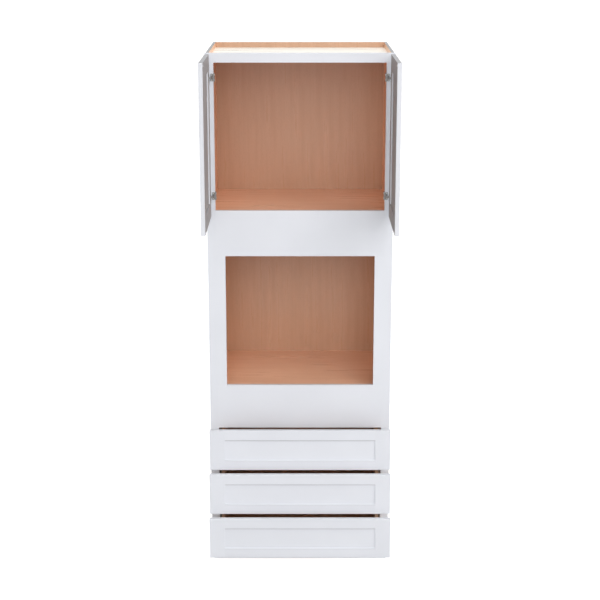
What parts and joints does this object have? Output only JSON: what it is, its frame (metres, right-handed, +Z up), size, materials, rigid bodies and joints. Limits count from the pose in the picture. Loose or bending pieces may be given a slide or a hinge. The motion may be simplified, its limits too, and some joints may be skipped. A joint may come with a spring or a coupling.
{
  "type": "oven cabinet",
  "caption": "Tall white shaker cabinet for a built-in oven: hinged doors over a storage space, an oven cut-out with a shelf, and drawers on telescopic slides over a toe space.",
  "frame": {"origin": "on the floor at the wall, on the cabinet's centre line: the lower edge of the base hang rail's rear face", "axes": "+X to the right seen from the front, +Y towards the wall, so the doors and drawers face -Y, +Z up"},
  "size_m": [0.8382, 1.0407, 2.4384],
  "materials": {
    "white_paint": "satin white paint",
    "maple_interior": "satin maple print, fine upright grain",
    "slide_steel": "zinc plated",
    "hinge_steel": "dull nickel plate"
  },
  "bodies": {
    "cabinet": {"side_panel_left": "maple_interior", "side_panel_right": "maple_interior", "back_panel": "maple_interior", "top_panel": "maple_interior", "compartment_floor": "maple_interior", "oven_shelf": "maple_interior", "bottom_panel": "maple_interior", "hang_rails": "maple_interior", "oven_side_bearers": "maple_interior", "oven_cross_bearers": "maple_interior", "base_blocks": "maple_interior", "slide_cleats": "maple_interior", "toe_kick": "white_paint", "frame_stile_left": "white_paint", "frame_stile_right": "white_paint", "top_rail": "white_paint", "middle_rail": "white_paint", "lower_rail": "white_paint", "drawer_rails": "white_paint", "bottom_rail": "white_paint", "oven_strips": "white_paint", "slide_cabinet_members": "slide_steel", "hinge_clips": "hinge_steel", "hinge_pins": "hinge_steel"},
    "door_left": {"door_left_hinge_stile": "white_paint", "door_left_meeting_stile": "white_paint", "door_left_rails": "white_paint", "door_left_panel": "white_paint", "door_left_hinge_cups": "hinge_steel"},
    "hinge_links_left": {"hinge_links_left": "hinge_steel"},
    "door_right": {"door_right_hinge_stile": "white_paint", "door_right_meeting_stile": "white_paint", "door_right_rails": "white_paint", "door_right_panel": "white_paint", "door_right_hinge_cups": "hinge_steel"},
    "hinge_links_right": {"hinge_links_right": "hinge_steel"},
    "drawer_1": {"drawer_1_front_stiles": "white_paint", "drawer_1_front_rails": "white_paint", "drawer_1_front_panel": "white_paint", "drawer_1_box_sides": "maple_interior", "drawer_1_box_ends": "maple_interior", "drawer_1_box_bottom": "maple_interior", "drawer_1_slide_members": "slide_steel"},
    "slide_1": {"slide_1": "slide_steel"},
    "drawer_2": {"drawer_2_front_stiles": "white_paint", "drawer_2_front_rails": "white_paint", "drawer_2_front_panel": "white_paint", "drawer_2_box_sides": "maple_interior", "drawer_2_box_ends": "maple_interior", "drawer_2_box_bottom": "maple_interior", "drawer_2_slide_members": "slide_steel"},
    "slide_2": {"slide_2": "slide_steel"},
    "drawer_3": {"drawer_3_front_stiles": "white_paint", "drawer_3_front_rails": "white_paint", "drawer_3_front_panel": "white_paint", "drawer_3_box_sides": "maple_interior", "drawer_3_box_ends": "maple_interior", "drawer_3_box_bottom": "maple_interior", "drawer_3_slide_members": "slide_steel"},
    "slide_3": {"slide_3": "slide_steel"}
  },
  "joints": [
    {"name": "door_right_hinge", "type": "hinge", "parent": "cabinet", "child": "door_right", "pos_m": [0.41442, -0.62777, 2.0677], "axis": [0, 0, 1], "range_deg": [-90, 12]},
    {"name": "hinge_links_right_pivot", "type": "hinge", "parent": "cabinet", "child": "hinge_links_right", "pos_m": [0.386, -0.6221, 2.0677], "axis": [0, 0, 1], "range_deg": [-6.34, 46.91]},
    {"name": "door_left_hinge", "type": "hinge", "parent": "cabinet", "child": "door_left", "pos_m": [-0.41442, -0.62777, 2.0677], "axis": [0, 0, -1], "range_deg": [-90, 12]},
    {"name": "hinge_links_left_pivot", "type": "hinge", "parent": "cabinet", "child": "hinge_links_left", "pos_m": [-0.386, -0.6221, 2.0677], "axis": [0, 0, -1], "range_deg": [-6.34, 46.91]},
    {"name": "drawer_1_slide", "type": "slide", "parent": "cabinet", "child": "drawer_1", "axis": [0, -1, 0], "range_m": [-0.094, 0.414]},
    {"name": "slide_1_middle", "type": "slide", "parent": "cabinet", "child": "slide_1", "axis": [0, -1, 0], "range_m": [-0.047, 0.207]},
    {"name": "drawer_2_slide", "type": "slide", "parent": "cabinet", "child": "drawer_2", "axis": [0, -1, 0], "range_m": [-0.145, 0.363]},
    {"name": "slide_2_middle", "type": "slide", "parent": "cabinet", "child": "slide_2", "axis": [0, -1, 0], "range_m": [-0.0725, 0.1815]},
    {"name": "drawer_3_slide", "type": "slide", "parent": "cabinet", "child": "drawer_3", "axis": [0, -1, 0], "range_m": [-0.195, 0.313]},
    {"name": "slide_3_middle", "type": "slide", "parent": "cabinet", "child": "slide_3", "axis": [0, -1, 0], "range_m": [-0.0975, 0.1565]}
  ],
  "couplings": [
    {"joint": "hinge_links_right_pivot", "follows": "door_right_hinge", "ratio": -0.5201},
    {"joint": "hinge_links_left_pivot", "follows": "door_left_hinge", "ratio": -0.5201},
    {"joint": "slide_1_middle", "follows": "drawer_1_slide", "ratio": 0.5},
    {"joint": "slide_2_middle", "follows": "drawer_2_slide", "ratio": 0.5},
    {"joint": "slide_3_middle", "follows": "drawer_3_slide", "ratio": 0.5}
  ]
}
